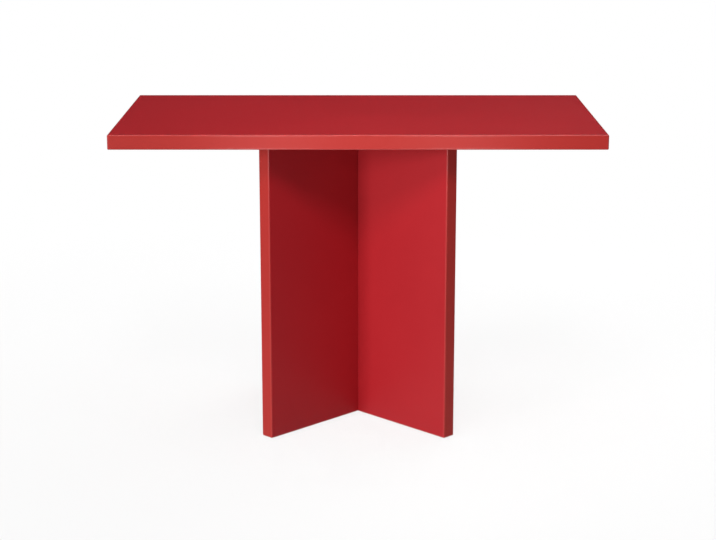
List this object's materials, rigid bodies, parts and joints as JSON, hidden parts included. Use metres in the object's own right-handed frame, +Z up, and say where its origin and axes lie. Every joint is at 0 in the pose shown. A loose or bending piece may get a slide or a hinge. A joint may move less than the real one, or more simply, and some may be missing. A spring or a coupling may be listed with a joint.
{
  "type": "dining table",
  "caption": "Rectangular slab dining table on a cross base: two upright panels slotted into each other, bracketed under the lacquered top, on screw-out levelling glides.",
  "frame": {"origin": "on the floor, under the middle of the top", "axes": "+X along the long side, to the right as seen from the front; +Y towards the back; +Z up"},
  "size_m": [1.1, 0.6, 0.73],
  "materials": {
    "red_lacquer": "satin",
    "zinc_plated_steel": "satin",
    "beech": "matte",
    "black_nylon": "matte"
  },
  "bodies": {
    "table": {"table_top": "red_lacquer", "cross_panel_slotted_above": "red_lacquer", "cross_panel_slotted_below": "red_lacquer", "angle_bracket_front_right": "zinc_plated_steel", "bracket_bolt_front_right_1": "zinc_plated_steel", "top_insert_front_right_1": "zinc_plated_steel", "bracket_screw_front_right_1": "zinc_plated_steel", "bracket_bolt_front_right_2": "zinc_plated_steel", "top_insert_front_right_2": "zinc_plated_steel", "bracket_screw_front_right_2": "zinc_plated_steel", "dowel_front_right": "beech", "glide_sleeve_front_right": "zinc_plated_steel", "angle_bracket_back_right": "zinc_plated_steel", "bracket_bolt_back_right_1": "zinc_plated_steel", "top_insert_back_right_1": "zinc_plated_steel", "bracket_screw_back_right_1": "zinc_plated_steel", "bracket_bolt_back_right_2": "zinc_plated_steel", "top_insert_back_right_2": "zinc_plated_steel", "bracket_screw_back_right_2": "zinc_plated_steel", "dowel_back_right": "beech", "glide_sleeve_back_right": "zinc_plated_steel", "angle_bracket_back_left": "zinc_plated_steel", "bracket_bolt_back_left_1": "zinc_plated_steel", "top_insert_back_left_1": "zinc_plated_steel", "bracket_screw_back_left_1": "zinc_plated_steel", "bracket_bolt_back_left_2": "zinc_plated_steel", "top_insert_back_left_2": "zinc_plated_steel", "bracket_screw_back_left_2": "zinc_plated_steel", "dowel_back_left": "beech", "glide_sleeve_back_left": "zinc_plated_steel", "angle_bracket_front_left": "zinc_plated_steel", "bracket_bolt_front_left_1": "zinc_plated_steel", "top_insert_front_left_1": "zinc_plated_steel", "bracket_screw_front_left_1": "zinc_plated_steel", "bracket_bolt_front_left_2": "zinc_plated_steel", "top_insert_front_left_2": "zinc_plated_steel", "bracket_screw_front_left_2": "zinc_plated_steel", "dowel_front_left": "beech", "glide_sleeve_front_left": "zinc_plated_steel"},
    "pad_front_right": {"glide_pad_front_right": "black_nylon"},
    "stud_front_right": {"glide_stud_front_right": "zinc_plated_steel"},
    "pad_back_right": {"glide_pad_back_right": "black_nylon"},
    "stud_back_right": {"glide_stud_back_right": "zinc_plated_steel"},
    "pad_back_left": {"glide_pad_back_left": "black_nylon"},
    "stud_back_left": {"glide_stud_back_left": "zinc_plated_steel"},
    "pad_front_left": {"glide_pad_front_left": "black_nylon"},
    "stud_front_left": {"glide_stud_front_left": "zinc_plated_steel"}
  },
  "joints": [
    {"name": "glide_travel_front_right", "type": "slide", "parent": "table", "child": "pad_front_right", "axis": [0, 0, -1], "range_m": [0, 0.008]},
    {"name": "glide_turn_front_right", "type": "hinge", "parent": "pad_front_right", "child": "stud_front_right", "pos_m": [0.18738, -0.18738, 0.02], "axis": [0, 0, -1], "range_deg": [0, 2304]},
    {"name": "glide_travel_back_right", "type": "slide", "parent": "table", "child": "pad_back_right", "axis": [0, 0, -1], "range_m": [0, 0.008]},
    {"name": "glide_turn_back_right", "type": "hinge", "parent": "pad_back_right", "child": "stud_back_right", "pos_m": [0.18738, 0.18738, 0.02], "axis": [0, 0, -1], "range_deg": [0, 2304]},
    {"name": "glide_travel_back_left", "type": "slide", "parent": "table", "child": "pad_back_left", "axis": [0, 0, -1], "range_m": [0, 0.008]},
    {"name": "glide_turn_back_left", "type": "hinge", "parent": "pad_back_left", "child": "stud_back_left", "pos_m": [-0.18738, 0.18738, 0.02], "axis": [0, 0, -1], "range_deg": [0, 2304]},
    {"name": "glide_travel_front_left", "type": "slide", "parent": "table", "child": "pad_front_left", "axis": [0, 0, -1], "range_m": [0, 0.008]},
    {"name": "glide_turn_front_left", "type": "hinge", "parent": "pad_front_left", "child": "stud_front_left", "pos_m": [-0.18738, -0.18738, 0.02], "axis": [0, 0, -1], "range_deg": [0, 2304]}
  ],
  "couplings": [
    {"joint": "glide_travel_front_right", "follows": "glide_turn_front_right", "m_per_rad": 0.00019894},
    {"joint": "glide_travel_back_right", "follows": "glide_turn_back_right", "m_per_rad": 0.00019894},
    {"joint": "glide_travel_back_left", "follows": "glide_turn_back_left", "m_per_rad": 0.00019894},
    {"joint": "glide_travel_front_left", "follows": "glide_turn_front_left", "m_per_rad": 0.00019894}
  ]
}
